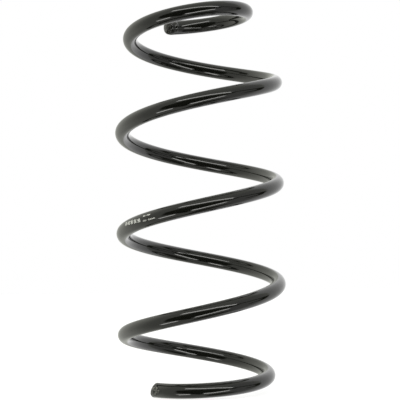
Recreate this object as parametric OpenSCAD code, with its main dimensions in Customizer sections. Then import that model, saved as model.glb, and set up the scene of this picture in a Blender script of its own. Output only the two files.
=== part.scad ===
// Suspension spring: one round steel bar wound right-handed about +Z
// The lower end turn is smaller and starts almost level, the body turns are
// open, and the top turn closes inwards as a pigtail
// Both ends are sheared off, and the blade rolled the bar's side over there
// Z is 0 at the underside of the lower end, where the spring seats

/* [Bar] */
// Diameter of the bar
bar_d = 13; // [10:0.5:16]
// Rounding all round the rim of each cut face
rim_r = 0.8; // [0.5:0.1:1.5]

/* [Body turns] */
// Outside diameter of the body turns
body_d = 156; // [130:1:180]
// Rise of the bar in one body turn
body_pitch = 93.5; // [60:0.5:110]
// Turns of the bar in all, from one end of the coil to the other
coil_turns = 4.75; // [3.75:0.01:6.75]
// Direction of the lower end, in degrees anticlockwise from +X
start_angle = 219; // [0:1:360]

/* [Lower end, in turns from the coil's lower end] */
// Outside diameter at the lower end
low_d = 120; // [110:0.5:150]
// Turns over which it opens out to the body
low_open_turns = 0.92; // [0.6:0.01:1.2]
// Turns before the lower end at which the bar would lie level
low_lead_turns = 0.1; // [0:0.01:0.2]
// Turns after the lower end over which the bar rises more and more
low_rise_turns = 0.87; // [0.6:0.01:1.3]

/* [Pigtail, in turns from the coil's upper end] */
// Outside diameter of the pigtail
pig_d = 104; // [80:0.5:130]
// Turns that have this diameter
pig_turns = 0.58; // [0.3:0.01:0.7]
// Turns over which the body closes in to it
pig_close_turns = 0.46; // [0.3:0.01:0.8]
// Turns over which the bar rises less and less
pig_level_turns = 1.1; // [0.9:0.01:1.4]
// Rate at which the bar falls at the upper end, in one turn
pig_fall = 32; // [0:1:60]

/* [Lower cut, where the blade came from above] */
// Straight bar between the coil and the cut face
low_stub = 3; // [0:0.5:6]
// Length along the bar that the blade rolled over
low_roll_l = 7; // [2:0.5:12]
// Depth of the roll-over at the face
low_roll_d = 4.5; // [1.5:0.1:5.5]
// Side that it lies on, in degrees round the bar from its outer side
low_roll_side = -45; // [-180:5:180]

/* [Upper cut, where the blade came from inside] */
// Straight bar between the coil and the cut face
pig_stub = 0; // [0:0.5:6]
// Length along the bar that the blade rolled over
pig_roll_l = 5.5; // [2:0.5:12]
// Depth of the roll-over at the face
pig_roll_d = 2.9; // [1.5:0.1:5.5]
// Side that it lies on, in degrees round the bar from its outer side
pig_roll_side = 120; // [-180:5:180]

/* [Hidden] */

bar_r = bar_d / 2;
body_r = body_d / 2 - bar_r;
low_r = low_d / 2 - bar_r;
pig_r = pig_d / 2 - bar_r;

// Places along the bar, in turns from the coil's lower end
pig_close_to = coil_turns - pig_turns;
pig_close_from = pig_close_to - pig_close_turns;
pig_level_from = coil_turns - pig_level_turns;

// Facets: points round the bar, rings in one turn and rings over a rolled edge
bar_sides = 16;
turn_rings = 60;
cut_rings = 4;
// Half the step, in turns, that the bar's direction is measured over
probe = 0.001;

// Smooth step from 0 at turn a to 1 at turn b, by way of its share u
function share(t, a, b) = min(max((t - a) / (b - a), 0), 1);
function blend(t, a, b) = let (u = share(t, a, b)) u * u * (3 - 2 * u);

// Area under the same step, from turn a to turn t
function blend_area(t, a, b) =
    let (u = share(t, a, b))
    (b - a) * (pow(u, 3) - pow(u, 4) / 2) + max(t - b, 0);

// Radius, height and place of the bar's centre line at turn t
function coil_r(t) =
    low_r
    + (body_r - low_r) * blend(t, 0, low_open_turns)
    + (pig_r - body_r) * blend(t, pig_close_from, pig_close_to);
function risen(t) = blend_area(t, -low_lead_turns, low_rise_turns);
function coil_z(t) =
    bar_r
    + body_pitch * (risen(t) - risen(0))
    - (body_pitch + pig_fall) * blend_area(t, pig_level_from, coil_turns);
function centre(t) =
    let (a = start_angle + 360 * t)
    [coil_r(t) * cos(a), coil_r(t) * sin(a), coil_z(t)];

// Direction of the bar, and the direction across it away from the coil's axis
function unit(v) = v / norm(v);
function along(t) = unit(centre(t + probe) - centre(t - probe));
function across(t) =
    let (a = start_angle + 360 * t, e = [cos(a), sin(a), 0], d = along(t))
    unit(e - (e * d) * d);

// Point at radius r and angle a round the bar, moved by s along it from turn t
function bar_point(t, a, r, s = 0) =
    let (d = along(t), u = across(t), v = cross(d, u))
    centre(t) + s * d + r * (cos(a) * u + sin(a) * v);

// One plain ring of points round the bar at turn t
angles = [for (i = [0:bar_sides - 1]) 360 * i / bar_sides];
function ring(t) = [for (a = angles) bar_point(t, a, bar_r)];

// Each cut end: the turn where the coil ends, the way out of it, the coil's
// length there in one turn, the straight stub and the roll-over's three sizes
low_cut = [0, -1, 2 * PI * low_r, low_stub,
    low_roll_l, low_roll_d, low_roll_side];
pig_cut = [coil_turns, 1, 2 * PI * pig_r, pig_stub,
    pig_roll_l, pig_roll_d, pig_roll_side];

// Ring k of a cut end, from the rim of its face at k = 0 to the bar's full side
// An edge of quarter ellipses, which grow from the rim's rounding to the whole
// roll-over on the side where that lies
function cut_ring(end, k) = [
    for (a = angles)
        let (
            near = pow(cos((a - end[6]) / 2), 4),
            roll_l = rim_r + (end[4] - rim_r) * near,
            roll_d = rim_r + (end[5] - rim_r) * near,
            b = 90 * k / cut_rings,
            x = roll_l * (1 - cos(b)),
            t = end[0] - end[1] * max(x - end[3], 0) / end[2],
            s = end[1] * max(end[3] - x, 0)
        )
        bar_point(t, a, bar_r - roll_d * (1 - sin(b)), s)
];

// Turns from the coil's end to the first plain ring, just behind the cut's edge
function cut_zone(end) = (max(end[4] - end[3], 0) + rim_r) / end[2];

// All rings in order, from the lower cut face to the upper one
bar_rings = ceil(coil_turns * turn_rings);
low_from = cut_zone(low_cut);
pig_to = coil_turns - cut_zone(pig_cut);
all_rings = [
    for (k = [0:cut_rings]) cut_ring(low_cut, k),
    for (j = [0:bar_rings]) ring(low_from + (pig_to - low_from) * j / bar_rings),
    for (k = [cut_rings:-1:0]) cut_ring(pig_cut, k)
];

// Solid bar through a list of rings with the same number of points each
module swept_bar(rings) {
    n = len(rings[0]);
    last = len(rings) - 1;
    walls = [
        for (j = [0:last - 1], i = [0:n - 1])
            let (a = j * n + i, b = j * n + (i + 1) % n)
            each [[a, a + n, b], [b, a + n, b + n]]
    ];
    lower_face = [for (i = [0:n - 1]) i];
    upper_face = [for (i = [n - 1:-1:0]) last * n + i];
    points = [for (r = rings, p = r) p];
    polyhedron(points, concat(walls, [lower_face, upper_face]));
}

module coil_spring() {
    color("#1b1b1a") swept_bar(all_rings);
}

coil_spring();
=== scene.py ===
import bpy
import numpy as np
from mathutils import Matrix


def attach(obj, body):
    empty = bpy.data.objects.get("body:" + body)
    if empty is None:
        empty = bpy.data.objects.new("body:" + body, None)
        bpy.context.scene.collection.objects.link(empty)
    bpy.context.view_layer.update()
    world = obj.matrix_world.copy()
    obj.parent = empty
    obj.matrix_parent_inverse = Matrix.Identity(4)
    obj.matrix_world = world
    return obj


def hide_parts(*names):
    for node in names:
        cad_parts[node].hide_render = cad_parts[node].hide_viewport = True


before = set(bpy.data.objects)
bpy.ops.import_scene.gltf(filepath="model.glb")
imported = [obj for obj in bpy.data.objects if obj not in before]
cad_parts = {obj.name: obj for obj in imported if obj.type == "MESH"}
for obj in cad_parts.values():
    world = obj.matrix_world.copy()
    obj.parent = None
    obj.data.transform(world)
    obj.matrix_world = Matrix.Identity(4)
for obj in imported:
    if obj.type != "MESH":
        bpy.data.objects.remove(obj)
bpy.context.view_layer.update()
MM = 0.001

# The spring: one round bar of chrome silicon steel, wound cold on a coiling
# machine, sheared to length, shot-peened and coated. Its lower end turn is
# smaller and starts level, and its top turn closes inwards as a pigtail.
BAR_D = 13 * MM
BODY_D = 156 * MM
LOW_D = 120 * MM
PIG_D = 104 * MM
BODY_PITCH = 93.5 * MM
PIG_FALL = 32 * MM
COIL_TURNS = 4.75
START_ANGLE = 219
LOW_OPEN_TURNS = 0.92
LOW_LEAD_TURNS = 0.1
LOW_RISE_TURNS = 0.87
PIG_TURNS = 0.58
PIG_CLOSE_TURNS = 0.46
PIG_LEVEL_TURNS = 1.1
BAR_R = BAR_D / 2
COAT = 0.15 * MM
BODY_R = BODY_D / 2 - BAR_R
LOW_R = LOW_D / 2 - BAR_R
PIG_R = PIG_D / 2 - BAR_R


def share(t, a, b):
    """How far t has gone from a to b, held between 0 and 1."""
    return np.clip((t - a) / (b - a), 0, 1)


def blend(t, a, b):
    """Smooth step of that share u: 3 u squared less 2 u cubed."""
    u = share(t, a, b)
    return u * u * (3 - 2 * u)


def blend_area(t, a, b):
    """Area under that smooth step up to t: u cubed less half of u to the fourth."""
    u = share(t, a, b)
    return (b - a) * (u**3 - u**4 / 2) + np.maximum(t - b, 0)


def centre_line(t):
    """Centre of the bar at turn t: a circle whose radius and height follow t.

    Its direction is the start angle plus 360 degrees a turn. The radius opens
    from the lower end's to the body's, then closes to the pigtail's. The height
    rises more and more, then evenly, then less and less."""
    close_to = COIL_TURNS - PIG_TURNS
    level_from = COIL_TURNS - PIG_LEVEL_TURNS
    radius = (
        LOW_R
        + (BODY_R - LOW_R) * blend(t, 0, LOW_OPEN_TURNS)
        + (PIG_R - BODY_R) * blend(t, close_to - PIG_CLOSE_TURNS, close_to)
    )
    risen = (
        blend_area(t, -LOW_LEAD_TURNS, LOW_RISE_TURNS)
        - blend_area(0, -LOW_LEAD_TURNS, LOW_RISE_TURNS)
    )
    levelled = blend_area(t, level_from, COIL_TURNS)
    height = BAR_R + BODY_PITCH * risen - (BODY_PITCH + PIG_FALL) * levelled
    angle = np.radians(START_ANGLE + 360 * t)
    return np.stack([radius * np.cos(angle), radius * np.sin(angle), height], -1)


def bar_axes(t, step=0.001):
    """Three unit arrows at turn t: along the bar, away from the coil's axis, and across."""
    along = centre_line(t + step) - centre_line(t - step)
    along /= np.linalg.norm(along, axis=-1, keepdims=True)
    out = centre_line(t) * [1, 1, 0]
    out -= (out * along).sum(-1, keepdims=True) * along
    out /= np.linalg.norm(out, axis=-1, keepdims=True)
    return along, out, np.cross(along, out)


def bar_point(t, angle, radius, shift=0.0):
    """Point at an angle round the bar, which is 0 on the side away from the coil's axis.

    It is the centre line, plus radius times the arrow out turned by that angle
    about the bar, plus shift times the arrow along."""
    along, out, across = bar_axes(t)
    c, s = np.cos(angle)[..., None], np.sin(angle)[..., None]
    return (
        centre_line(t)
        + np.asarray(radius)[..., None] * (c * out + s * across)
        + np.asarray(shift)[..., None] * along
    )


# The two ends are sheared off. The blade rolls the bar's side over where it
# enters and tears the rest into a slightly domed face. The lower end keeps a
# short straight stub, because the bar wasn't bent right up to the blade.
RIM = 0.4 * MM
LOWER_CUT = dict(
    stub=3.5 * MM, turn_length=2 * np.pi * LOW_R, slant=0.18, skew=-0.1, dome=0.5 * MM,
    roll_at=np.radians(-36), roll_length=4.5 * MM, roll_depth=4.2 * MM,
    tear=12.5 * MM, bare=1,
)
UPPER_CUT = dict(
    stub=0 * MM, turn_length=2 * np.pi * PIG_R, slant=0, skew=0, dome=1.2 * MM,
    roll_at=np.radians(120), roll_length=5.5 * MM, roll_depth=2.9 * MM,
    tear=0 * MM, bare=0.85,
)
TORN_RIM = 1.5 * MM
TORN_FADE = 1 * MM
DEEP_DENT = 0.1 * MM
DEEP_DENT_SIZE = 3 * MM
FINE_DENT = 0.05 * MM
FINE_DENT_SIZE = 1.4 * MM

# Behind the pigtail's cut the blade's pressure raised one small bead
BEAD_AT = 7.2 * MM
BEAD_SIDE = np.radians(186)
BEAD_HEIGHT = 0.9 * MM
BEAD_LENGTH = 1.5 * MM

# The grid: points round the bar, rings in one turn, rings over each end's zone
# and rings across each cut face
SIDES = 72
TURN_RINGS = 150
END_RINGS = 44
END_ZONE = 14 * MM
FACE_RINGS = 10


def grain(points, size, seed, waves=28):
    """Rough field between about -1 and 1: the mean of waves in random directions.

    Each wave is a sine of the distance along its own direction, and their
    lengths lie round size."""
    rng = np.random.default_rng(seed)
    direction = rng.normal(size=(waves, 3))
    direction /= np.linalg.norm(direction, axis=1, keepdims=True)
    number = 2 * np.pi / (size * rng.uniform(0.7, 1.5, waves))
    phase = rng.uniform(0, 2 * np.pi, waves)
    field = np.sin(points @ (direction * number[:, None]).T + phase)
    return field.sum(-1) / np.sqrt(2 * waves)


def rolled_depth(x, angle, cut):
    """How far the blade pressed the bar's side in, at a distance x from the cut face.

    A quarter ellipse leads from the side down to the rim of the face. It grows
    on the side where the blade entered, by the fourth power of the cosine of
    half the angle from there."""
    near = np.cos((angle - cut["roll_at"]) / 2) ** 4
    length = RIM + (cut["roll_length"] - RIM) * near
    depth = RIM + (cut["roll_depth"] - RIM) * near
    u = np.clip(x / length, 0, 1)
    return depth * (1 - np.sqrt(1 - (1 - u) ** 2))


def bead(x, angle):
    """Height of the bead at a distance x from the pigtail's cut face.

    It is a bell curve along the bar, times the 24th power of the cosine of
    half the angle from the bead's side."""
    along = np.exp(-(((x - BEAD_AT) / BEAD_LENGTH) ** 2))
    return BEAD_HEIGHT * along * np.cos((angle - BEAD_SIDE) / 2) ** 24


def torn_share(x, angle, cut):
    """How bare the steel is at a distance x from the cut face, and 0 on the smooth bar.

    The steel is torn round the rim, and farther on the side away from the coil's
    axis, by the tear times the eighth power of the cosine of half the angle."""
    reach = TORN_RIM + cut["tear"] * np.cos(angle / 2) ** 8
    return cut["bare"] * (1 - share(x, reach - TORN_FADE, reach + TORN_FADE))


def end_rings(cut, angle):
    """Distance from the cut face, turns from the coil's end and straight part left, on a grid.

    The distance grows as 1 less a cosine, so the rings are closest at the face.
    The slant and the skew move each ring along the bar by the sine and cosine
    of the angle, less and less away from the face. The turns are what is left
    past the stub over the length of one turn."""
    x = END_ZONE * (1 - np.cos(np.linspace(0, np.pi / 2, END_RINGS)))[:, None]
    tilt = cut["slant"] * np.sin(angle) + cut["skew"] * np.cos(angle)
    past_stub = x - tilt * BAR_R * (1 - x / END_ZONE) - cut["stub"]
    return x + 0 * angle, np.maximum(past_stub, 0) / cut["turn_length"], np.maximum(-past_stub, 0)


def cut_face(rim, outward, height):
    """Centre and rings of a cut face, from its rim inwards.

    Each ring shrinks evenly to the centre, and rises outwards by the height
    times 1 less the square of its share of the rim's size."""
    shrink = np.linspace(1, 0, FACE_RINGS + 1)[1:, None, None]
    middle = rim.mean(0, keepdims=True)
    rings = middle + shrink * (rim - middle) + outward * height * (1 - shrink**2)
    return rings[-1, :1], rings[:-1]


def coil_mesh():
    """Vertices on a grid of rings by sides, its quads, a closing fan at each end, and how torn it is.

    The bar's radius with its coat, less what each blade pressed in, plus the
    bead, is carried along the coil. Rings far from a cut are put past its zone."""
    angle = np.arange(SIDES) / SIDES * 2 * np.pi
    x_low, turns_low, left_low = end_rings(LOWER_CUT, angle)
    x_up, turns_up, left_up = end_rings(UPPER_CUT, angle)
    count = int(COIL_TURNS * TURN_RINGS)
    between = np.linspace(turns_low[-1, 0], COIL_TURNS - turns_up[-1, 0], count)[1:-1, None]
    between = between + 0 * angle
    t = np.concatenate([turns_low, between, COIL_TURNS - turns_up[::-1]])
    shift = np.concatenate([-left_low, 0 * between, left_up[::-1]])
    far = 2 * END_ZONE
    from_low = np.concatenate([x_low, 0 * between + far, 0 * x_up + far])
    from_up = np.concatenate([0 * x_low + far, 0 * between + far, x_up[::-1]])
    pressed_in = rolled_depth(from_low, angle, LOWER_CUT) + rolled_depth(from_up, angle, UPPER_CUT)
    radius = BAR_R + COAT - pressed_in + bead(from_up, angle)
    wall = bar_point(t, angle + 0 * radius, radius, shift)
    along = bar_axes(np.array([0.0, COIL_TURNS]))[0]
    low_hub, low_face = cut_face(wall[0], -along[0], LOWER_CUT["dome"])
    up_hub, up_face = cut_face(wall[-1], along[1], UPPER_CUT["dome"])
    grid = np.concatenate([low_face[::-1], wall, up_face])
    torn = np.maximum(
        torn_share(from_low, angle, LOWER_CUT), torn_share(from_up, angle, UPPER_CUT)
    )
    on_face = np.ones((FACE_RINGS - 1, SIDES))
    torn = np.concatenate([LOWER_CUT["bare"] * on_face, torn, UPPER_CUT["bare"] * on_face])

    points = np.concatenate([low_hub, grid.reshape(-1, 3), up_hub])
    rings = len(grid)
    j, i = np.meshgrid(np.arange(rings - 1), np.arange(SIDES), indexing="ij")
    here = 1 + j * SIDES + i
    beside = 1 + j * SIDES + (i + 1) % SIDES
    quads = np.stack([here, beside, beside + SIDES, here + SIDES], -1).reshape(-1, 4)
    rim = 1 + np.arange(SIDES)
    rim_next = 1 + (np.arange(SIDES) + 1) % SIDES
    last = 1 + (rings - 1) * SIDES
    low_fan = np.stack([0 * rim, rim_next, rim], -1)
    up_fan = np.stack([0 * rim + last + SIDES, last + rim - 1, last + rim_next - 1], -1)
    torn = np.concatenate([[LOWER_CUT["bare"]], torn.ravel(), [UPPER_CUT["bare"]]])
    return points, quads, np.concatenate([low_fan, up_fan]), torn


points, quads, fans, torn = coil_mesh()
mesh = bpy.data.meshes.new("coil_spring_wound_bar")
mesh.from_pydata(points.tolist(), [], quads.tolist() + fans.tolist())
mesh.update()
normals = np.zeros(len(points) * 3, np.float32)
mesh.vertices.foreach_get("normal", normals)
dents = DEEP_DENT * grain(points, DEEP_DENT_SIZE, seed=5)
dents += FINE_DENT * grain(points, FINE_DENT_SIZE, seed=6)
points = points + normals.reshape(-1, 3) * (dents * torn)[:, None]
mesh.vertices.foreach_set("co", points.astype(np.float32).ravel())
mesh.shade_smooth()
attribute = mesh.attributes.new("torn", "FLOAT", "POINT")
attribute.data.foreach_set("value", torn.astype(np.float32))
coil = bpy.data.objects.new("coil_spring_wound_bar", mesh)
bpy.context.scene.collection.objects.link(coil)
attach(coil, "root")
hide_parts("coil_spring")


def colour(code):
    """Linear colour of an sRGB hex code: the standard curve, channel by channel."""
    s = np.array([int(code[i:i + 2], 16) for i in (1, 3, 5)]) / 255
    linear = np.where(s <= 0.04045, s / 12.92, ((s + 0.055) / 1.055) ** 2.4)
    return (*linear.tolist(), 1.0)


def node(tree, kind, links=None, **settings):
    """Adds a node, sets what is named, and links or sets its inputs."""
    made = tree.nodes.new(kind)
    for name, value in settings.items():
        setattr(made, name, value)
    for socket, source in (links or {}).items():
        if isinstance(source, bpy.types.NodeSocket):
            tree.links.new(source, made.inputs[socket])
        else:
            made.inputs[socket].default_value = source
    return made


# The finish: an epoxy powder coat, sprayed on and baked, so the eye sees a gloss
# black with a trace of olive and a faint, long orange peel. Over the torn ends
# it is thin: duller, with greyish specks and small pits in painted shade.
TONE_SIZE = 40 * MM
PEEL_SIZE = 6 * MM
PEEL_DEPTH = 0.15 * MM

# The torn steel's real grain is under a millimetre. It is drawn coarser to show.
TEAR_SIZE = 2.3 * MM
TEAR_DEPTH = 0.6 * MM


def black_powder_coat():
    """Gloss black whose specks, pits, roughness and bumps grow with the torn attribute; the pits'
    shade is painted, by a lower shine.
    """
    material = bpy.data.materials.new("gloss_black_powder_coat")
    material.use_nodes = True
    tree = material.node_tree
    shader = tree.nodes["Principled BSDF"]
    shader.inputs["IOR"].default_value = 1.5
    place = node(tree, "ShaderNodeTexCoord").outputs["Object"]
    torn = node(tree, "ShaderNodeAttribute", attribute_name="torn").outputs["Fac"]
    cloud = node(tree, "ShaderNodeTexNoise", {
        "Vector": place, "Scale": 1 / TONE_SIZE, "Detail": 3.0
    }).outputs["Fac"]
    # A colour mix repeats its sockets' names, so they are picked by number
    tone = node(tree, "ShaderNodeMix", {
        0: cloud, 6: colour("#131410"), 7: colour("#181915")
    }, data_type="RGBA").outputs[2]
    tears = node(tree, "ShaderNodeTexNoise", {
        "Vector": place, "Scale": 1 / TEAR_SIZE, "Detail": 2.0
    }).outputs["Fac"]
    torn_height = node(tree, "ShaderNodeMath", {0: tears, 1: torn}, operation="MULTIPLY").outputs[0]
    peak = node(tree, "ShaderNodeMapRange", {
        "Value": torn_height, "From Min": 0.5, "From Max": 0.6
    }).outputs["Result"]
    specked = node(tree, "ShaderNodeMix", {
        0: peak, 6: tone, 7: colour("#6a6a63")
    }, data_type="RGBA").outputs[2]
    tree.links.new(specked, shader.inputs["Base Color"])
    # Painted shade: in the pits the specular level drops from 0.5 to 0.12, darkening them as if they
    # shaded themselves.
    pit_for_painted_shade = node(tree, "ShaderNodeMapRange", {
        "Value": tears, "From Min": 0.36, "From Max": 0.46, "To Min": 1.0, "To Max": 0.0
    }).outputs["Result"]
    painted_pit_shade = node(tree, "ShaderNodeMath", {0: pit_for_painted_shade, 1: torn}, operation="MULTIPLY").outputs[0]
    shine_less_painted_pit_shade = node(tree, "ShaderNodeMapRange", {
        "Value": painted_pit_shade, "To Min": 0.5, "To Max": 0.12
    }).outputs["Result"]
    tree.links.new(shine_less_painted_pit_shade, shader.inputs["Specular IOR Level"])
    gloss = node(tree, "ShaderNodeMapRange", {
        "Value": torn, "To Min": 0.09, "To Max": 0.2
    }).outputs["Result"]
    tree.links.new(gloss, shader.inputs["Roughness"])
    peel = node(tree, "ShaderNodeTexNoise", {
        "Vector": place, "Scale": 1 / PEEL_SIZE, "Detail": 0.0
    }).outputs["Fac"]
    flow = node(tree, "ShaderNodeBump", {
        "Height": peel, "Strength": 0.3, "Distance": PEEL_DEPTH
    }).outputs["Normal"]
    surface = node(tree, "ShaderNodeBump", {
        "Height": torn_height, "Strength": 0.6, "Distance": TEAR_DEPTH, "Normal": flow
    }).outputs["Normal"]
    tree.links.new(surface, shader.inputs["Normal"])
    return material


mesh.materials.append(black_powder_coat())


# The ink: plain bars and dashes, printed over the coat in pale grey stamping
# ink, which dries thin, matt and a little patchy. Each mark goes from turn to
# turn along the bar and from angle to angle round it, in degrees.
INK_FILM = 0.04 * MM
INK_SUNK = 0.2 * MM
INK_PATCH = 1.5 * MM
BARS = [(1.974 + 0.01 * k, 1.981 + 0.01 * k, -26 + 3 * k, 2 + 3 * k) for k in range(5)]
DASHES = [
    (2.029, 2.035, -28, -19), (2.038, 2.046, -28, -19),
    (2.027, 2.036, 9, 18), (2.04, 2.055, 9, 18),
]


def ink_mesh():
    """One thin closed plate for each mark, curved along and round the bar.

    Points on a grid of turns by angles, once on the ink's surface and once a
    little inside the bar, with quads over both and round the edge."""
    surface = BAR_R + COAT + INK_FILM
    rows, cols = 5, 5
    all_points, faces = [], []
    for t_from, t_to, a_from, a_to in BARS + DASHES:
        turns = np.linspace(t_from, t_to, rows)
        angles = np.radians(np.linspace(a_from, a_to, cols))
        t, angle = np.meshgrid(turns, angles, indexing="ij")
        start = len(all_points) * 2 * rows * cols
        plate = [bar_point(t, angle, 0 * t + surface - sink) for sink in (0, INK_SUNK)]
        all_points.append(np.concatenate([p.reshape(-1, 3) for p in plate]))
        number = start + np.arange(rows * cols).reshape(rows, cols)
        under = number + rows * cols
        top = np.stack([number[:-1, :-1], number[:-1, 1:], number[1:, 1:], number[1:, :-1]], -1)
        faces += top[..., ::-1].reshape(-1, 4).tolist()
        faces += (top + rows * cols).reshape(-1, 4).tolist()
        edge = np.concatenate([number[0, :-1], number[:-1, -1], number[-1, :0:-1], number[:0:-1, 0]])
        below = np.concatenate([under[0, :-1], under[:-1, -1], under[-1, :0:-1], under[:0:-1, 0]])
        ring = np.stack([edge, np.roll(edge, -1), np.roll(below, -1), below], -1)
        faces += ring.tolist()
    return np.concatenate(all_points), faces


def pale_stamp_ink():
    """Matt pale grey that wanders between two tones from patch to patch."""
    material = bpy.data.materials.new("pale_grey_stamp_ink")
    material.use_nodes = True
    tree = material.node_tree
    shader = tree.nodes["Principled BSDF"]
    shader.inputs["Roughness"].default_value = 0.5
    place = node(tree, "ShaderNodeTexCoord").outputs["Object"]
    patches = node(tree, "ShaderNodeTexNoise", {
        "Vector": place, "Scale": 1 / INK_PATCH, "Detail": 2.0
    }).outputs["Fac"]
    tone = node(tree, "ShaderNodeMix", {
        0: patches, 6: colour("#9fa09b"), 7: colour("#ecede8")
    }, data_type="RGBA").outputs[2]
    tree.links.new(tone, shader.inputs["Base Color"])
    return material


ink_points, ink_faces = ink_mesh()
ink_plates = bpy.data.meshes.new("ink_marks")
ink_plates.from_pydata(ink_points.tolist(), [], ink_faces)
ink_plates.update()
ink_plates.materials.append(pale_stamp_ink())
ink = bpy.data.objects.new("ink_marks", ink_plates)
bpy.context.scene.collection.objects.link(ink)
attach(ink, "root")


# The floor: a plain white sheet under the spring. It keeps a trace of the soft
# shadow, and its own light for the camera brings the rest to white.
FLOOR_HALF = 3000 * MM
FLOOR_LIGHT = 0.85


def floor_sheet():
    """One square at the underside of the coat, which the coil's reflections leave out."""
    material = bpy.data.materials.new("white_paper")
    material.use_nodes = True
    tree = material.node_tree
    shader = tree.nodes["Principled BSDF"]
    shader.inputs["Base Color"].default_value = colour("#8c8c8c")
    shader.inputs["Roughness"].default_value = 0.9
    shader.inputs["Specular IOR Level"].default_value = 0.0
    shader.inputs["Emission Color"].default_value = (1, 1, 1, 1)
    camera_ray = node(tree, "ShaderNodeLightPath").outputs["Is Camera Ray"]
    own_light = node(tree, "ShaderNodeMath", {0: camera_ray, 1: FLOOR_LIGHT}, operation="MULTIPLY")
    tree.links.new(own_light.outputs[0], shader.inputs["Emission Strength"])
    sides = ((-1, -1), (1, -1), (1, 1), (-1, 1))
    corners = [(x * FLOOR_HALF, y * FLOOR_HALF, -COAT) for x, y in sides]
    sheet = bpy.data.meshes.new("floor")
    sheet.from_pydata(corners, [], [(0, 1, 2, 3)])
    sheet.materials.append(material)
    floor = bpy.data.objects.new("floor", sheet)
    bpy.context.scene.collection.objects.link(floor)
    floor.visible_glossy = False


floor_sheet()

# The studio: a white tent all round, with a black flag in front of the camera,
# thin gaps of bare lamp at its edges, a grey panel on the right, and a thin dark
# frame in front of that panel.
TENT = (0.8, 0.81, 0.745)

# Directions are in degrees: azimuth is 0 towards the camera and positive to the
# right. Each card's lower and upper edge goes straight from one azimuth to the next.
CARDS = [
    dict(az=(-140, -88), low=(-52, -52), high=(52, 52), soft=20, light=(1.2, 1.21, 1.1)),
    dict(az=(101, 178), low=(-66, -66), high=(62, 62), soft=3, light=(1.3, 1.3, 1.3)),
    dict(az=(40, 92), low=(-52, -60), high=(46, 54), soft=5, light=(0.69, 0.69, 0.68)),
    dict(
        az=(47, 72, 100), low=(7, 3, -3), high=(14, 10, 5),
        soft=1.5, light=(0.01, 0.01, 0.01),
    ),
    dict(az=(72, 98), low=(-22, -13), high=(-15, -6), soft=1.5, light=(0.01, 0.01, 0.01)),
    dict(az=(88, 101), low=(-18, -14), high=(9, 7), soft=2, light=(0.01, 0.01, 0.01)),
    dict(
        az=(12, 34, 72), low=(-90, -90, -90), high=(-57, -50, -46),
        soft=3, light=(0.1, 0.1, 0.09),
    ),
    dict(
        az=(-51, -14, -9, 13, 51), low=(-18, -51, -54, -26, 0), high=(13, 28, 25, 18, 8),
        soft=3, light=(0.01, 0.01, 0.01),
    ),
    dict(
        az=(-43, 12, 28, 44), low=(37.5, 30, 21.5, 10), high=(46.5, 39, 30.5, 18),
        soft=1, light=(8, 8, 7.7),
    ),
    dict(
        az=(-3, 13, 42), low=(-44, -41, -24), high=(-35, -32, -16),
        soft=1, light=(8.5, 8.5, 8.2),
    ),
    dict(az=(-59, -30), low=(-50, -50), high=(-41, -41), soft=1, light=(8, 8, 7.7)),
]


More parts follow.
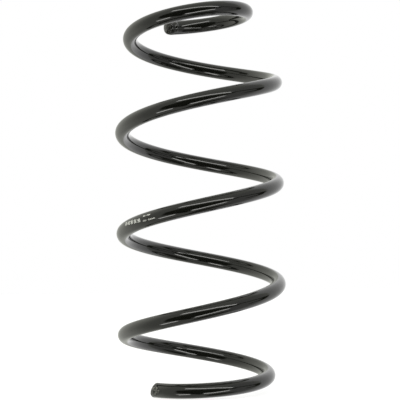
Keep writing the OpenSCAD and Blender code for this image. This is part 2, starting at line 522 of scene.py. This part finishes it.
def studio_light():
    """Paints the tent and its cards by direction, for every ray but the camera's, which see white.

    A card covers what is past its first azimuth, before its last, above its
    lower edge and below its upper one: the product of four smooth steps."""
    world = bpy.data.worlds.new("studio")
    bpy.context.scene.world = world
    world.use_nodes = True
    tree = world.node_tree
    back = tree.nodes["Background"]

    def math(operation, *inputs):
        """What a Math node makes of the inputs."""
        return node(tree, "ShaderNodeMath", dict(enumerate(inputs)), operation=operation).outputs[0]

    way = node(tree, "ShaderNodeTexCoord").outputs["Generated"]
    x, y, z = node(tree, "ShaderNodeSeparateXYZ", {"Vector": way}).outputs
    az = math("DEGREES", math("ARCTAN2", x, math("MULTIPLY", y, -1.0)))
    el = math("DEGREES", math("ARCSINE", z))
    az_share = math("DIVIDE", math("ADD", az, 180.0), 360.0)

    def past(value, edge, soft):
        """0 before the edge and 1 past it, by a smooth step of soft degrees each way."""
        return node(tree, "ShaderNodeMapRange", {
            "Value": math("SUBTRACT", value, edge), "From Min": -soft, "From Max": soft
        }, interpolation_type="SMOOTHSTEP").outputs["Result"]

    def edge_height(azimuths, heights):
        """Elevation of an edge: a curve of straight pieces from knot to knot."""
        made = node(tree, "ShaderNodeFloatCurve", {"Value": az_share})
        curve = made.mapping.curves[0]
        knots = [((a + 180) / 360, (h + 90) / 180) for a, h in zip(azimuths, heights)]
        while len(curve.points) < len(knots):
            curve.points.new(0.5, 0.5)
        for point, knot in zip(curve.points, knots):
            point.location = knot
            point.handle_type = "VECTOR"
        made.mapping.update()
        return math("SUBTRACT", math("MULTIPLY", made.outputs[0], 180.0), 90.0)

    seen = (*TENT, 1.0)
    for card in CARDS:
        soft = card["soft"]
        right_of_start = past(az, card["az"][0], soft)
        left_of_end = past(math("MULTIPLY", az, -1.0), -card["az"][-1], soft)
        above = past(el, edge_height(card["az"], card["low"]), soft)
        top = edge_height(card["az"], card["high"])
        below = past(math("SUBTRACT", top, el), 0.0, soft)
        inside = math("MULTIPLY", math("MULTIPLY", right_of_start, left_of_end),
                      math("MULTIPLY", above, below))
        mixed = node(tree, "ShaderNodeMix", {
            0: inside, 6: seen, 7: (*card["light"], 1.0)
        }, data_type="RGBA")
        seen = mixed.outputs[2]
    camera_ray = node(tree, "ShaderNodeLightPath").outputs["Is Camera Ray"]
    final = node(tree, "ShaderNodeMix", {
        0: camera_ray, 6: seen, 7: (1.0, 1.0, 1.0, 1.0)
    }, data_type="RGBA")
    tree.links.new(final.outputs[2], back.inputs["Color"])


studio_light()

# The camera: a long lens level with the spring's lower half, looking slightly up.
CAMERA_DISTANCE = 1262.9 * MM
CAMERA_RISE = np.radians(2.12)
CAMERA_ROLL = np.radians(0.912)
TARGET = np.array([-0.195, 0, 178.55]) * MM
FOCAL_PIXELS = 1358
FRAME_PIXELS = 400
SENSOR_WIDTH = 36
camera_data = bpy.data.cameras.new("camera")
camera_data.sensor_width = SENSOR_WIDTH
camera_data.lens = FOCAL_PIXELS / FRAME_PIXELS * SENSOR_WIDTH
camera = bpy.data.objects.new("camera", camera_data)
bpy.context.scene.collection.objects.link(camera)
look = np.array([0, np.cos(CAMERA_RISE), np.sin(CAMERA_RISE)])
camera.location = TARGET - CAMERA_DISTANCE * look
camera.rotation_euler = (
    Matrix.Rotation(np.pi / 2 + CAMERA_RISE, 3, "X")
    @ Matrix.Rotation(-CAMERA_ROLL, 3, "Z")
).to_euler()
bpy.context.scene.camera = camera

scene = bpy.context.scene
scene.view_settings.view_transform = "Standard"

bpy.context.view_layer.update()
